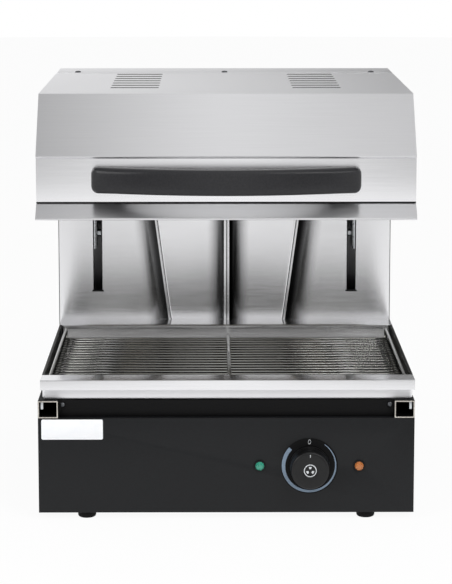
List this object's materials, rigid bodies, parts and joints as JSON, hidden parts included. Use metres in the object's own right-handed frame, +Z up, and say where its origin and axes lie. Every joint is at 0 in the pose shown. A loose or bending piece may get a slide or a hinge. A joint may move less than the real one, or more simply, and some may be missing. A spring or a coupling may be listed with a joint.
{
  "type": "rise and fall salamander grill",
  "caption": "Countertop cheese melter: a stainless heating head that slides down a rear column over a wire grid in a drip tray, on a black base with knob and lamps.",
  "frame": {"origin": "on the table, under the middle of the bounding box", "axes": "+X to the right seen from the front, +Y to the back, +Z up"},
  "size_m": [0.45, 0.51, 0.5078],
  "materials": {
    "black_powder_coat": "fine satin powder coat",
    "stainless_brushed": "brushed along X",
    "stainless_tray": "satin stainless",
    "mirror_stainless": "bright annealed",
    "reflector_steel": "bright, heat tinted",
    "wire_chrome": "plated wire",
    "zinc_steel": "zinc plated",
    "machined_steel": "machined",
    "chain_steel": "oiled",
    "cast_weight": "rough",
    "bronze_bush": "sintered bronze",
    "black_handle": "satin phenolic",
    "black_plastic": "matt",
    "foot_rubber": "matt",
    "badge_white": "blank white plate",
    "lens_green": "clear tinted",
    "lens_orange": "clear tinted",
    "pale_plastic": "moulded",
    "ceramic_white": "unglazed",
    "element_sheath": "heat-darkened sheath",
    "ceramic_blanket": "ceramic fibre blanket"
  },
  "bodies": {
    "base": {"base_body": "black_powder_coat", "control_panel": "black_powder_coat", "bottom_plate": "black_powder_coat", "rubber_feet": "foot_rubber", "foot_screws": "zinc_steel", "rail_left": "black_powder_coat", "rail_right": "black_powder_coat", "rail_stops": "zinc_steel", "front_riser": "black_powder_coat", "riser_screws": "zinc_steel", "badge_plate": "badge_white", "dial_plate": "black_plastic", "lamp_green": "lens_green", "lamp_orange": "lens_orange", "lamp_bodies": "pale_plastic", "regulator_body": "pale_plastic", "terminal_block": "ceramic_white", "cable_gland": "black_plastic", "gland_nut": "black_plastic", "column_face": "mirror_stainless", "column_shell": "stainless_brushed", "column_cap": "stainless_brushed", "cap_screws": "zinc_steel", "slot_liners": "black_plastic", "guide_rods": "machined_steel", "rod_brackets": "machined_steel", "axle_brackets": "machined_steel", "lifting_chains": "chain_steel"},
    "head": {"head_hood": "stainless_brushed", "head_front": "stainless_brushed", "head_lip": "stainless_brushed", "head_ends": "stainless_brushed", "head_back": "stainless_brushed", "handle": "black_handle", "handle_screws": "zinc_steel", "reflector": "reflector_steel", "insulation": "ceramic_blanket", "elements": "element_sheath", "element_supports": "reflector_steel", "element_terminals": "ceramic_white", "arm_left": "zinc_steel", "arm_right": "zinc_steel", "carriage_blocks": "machined_steel", "slide_bushes": "bronze_bush", "arm_bolts": "zinc_steel", "carriage_beam": "machined_steel", "chain_clamps": "machined_steel"},
    "balance": {"counterweight": "cast_weight", "weight_hooks": "machined_steel"},
    "upper_shaft": {"upper_axle": "machined_steel", "upper_sprockets": "machined_steel"},
    "lower_shaft": {"lower_axle": "machined_steel", "lower_sprockets": "machined_steel"},
    "tray": {"drip_tray": "stainless_tray"},
    "grid": {"grid_bars": "wire_chrome", "grid_frame": "wire_chrome"},
    "dial": {"knob": "black_handle", "regulator_shaft": "machined_steel"}
  },
  "joints": [
    {"name": "head_lift", "type": "slide", "parent": "base", "child": "head", "axis": [0, 0, 1], "range_m": [-0.055, 0]},
    {"name": "balance_slide", "type": "slide", "parent": "base", "child": "balance", "axis": [0, 0, 1], "range_m": [0, 0.055]},
    {"name": "upper_shaft_turn", "type": "hinge", "parent": "base", "child": "upper_shaft", "pos_m": [0, 0.2109, 0.474], "axis": [1, 0, 0], "range_deg": [0, 188]},
    {"name": "lower_shaft_turn", "type": "hinge", "parent": "base", "child": "lower_shaft", "pos_m": [0, 0.2109, 0.154], "axis": [1, 0, 0], "range_deg": [0, 188]},
    {"name": "tray_slide", "type": "slide", "parent": "base", "child": "tray", "axis": [0, -1, 0], "range_m": [0, 0.3]},
    {"name": "grid_lift", "type": "slide", "parent": "tray", "child": "grid", "axis": [0, 0, 1], "range_m": [0, 0.06]},
    {"name": "knob_turn", "type": "hinge", "parent": "base", "child": "dial", "pos_m": [0.0995, -0.225, 0.0655], "axis": [0, 1, 0], "range_deg": [0, 300]}
  ],
  "couplings": [
    {"joint": "balance_slide", "follows": "head_lift", "ratio": -1},
    {"joint": "upper_shaft_turn", "follows": "head_lift", "rad_per_m": -59.172},
    {"joint": "lower_shaft_turn", "follows": "head_lift", "rad_per_m": -59.172}
  ]
}
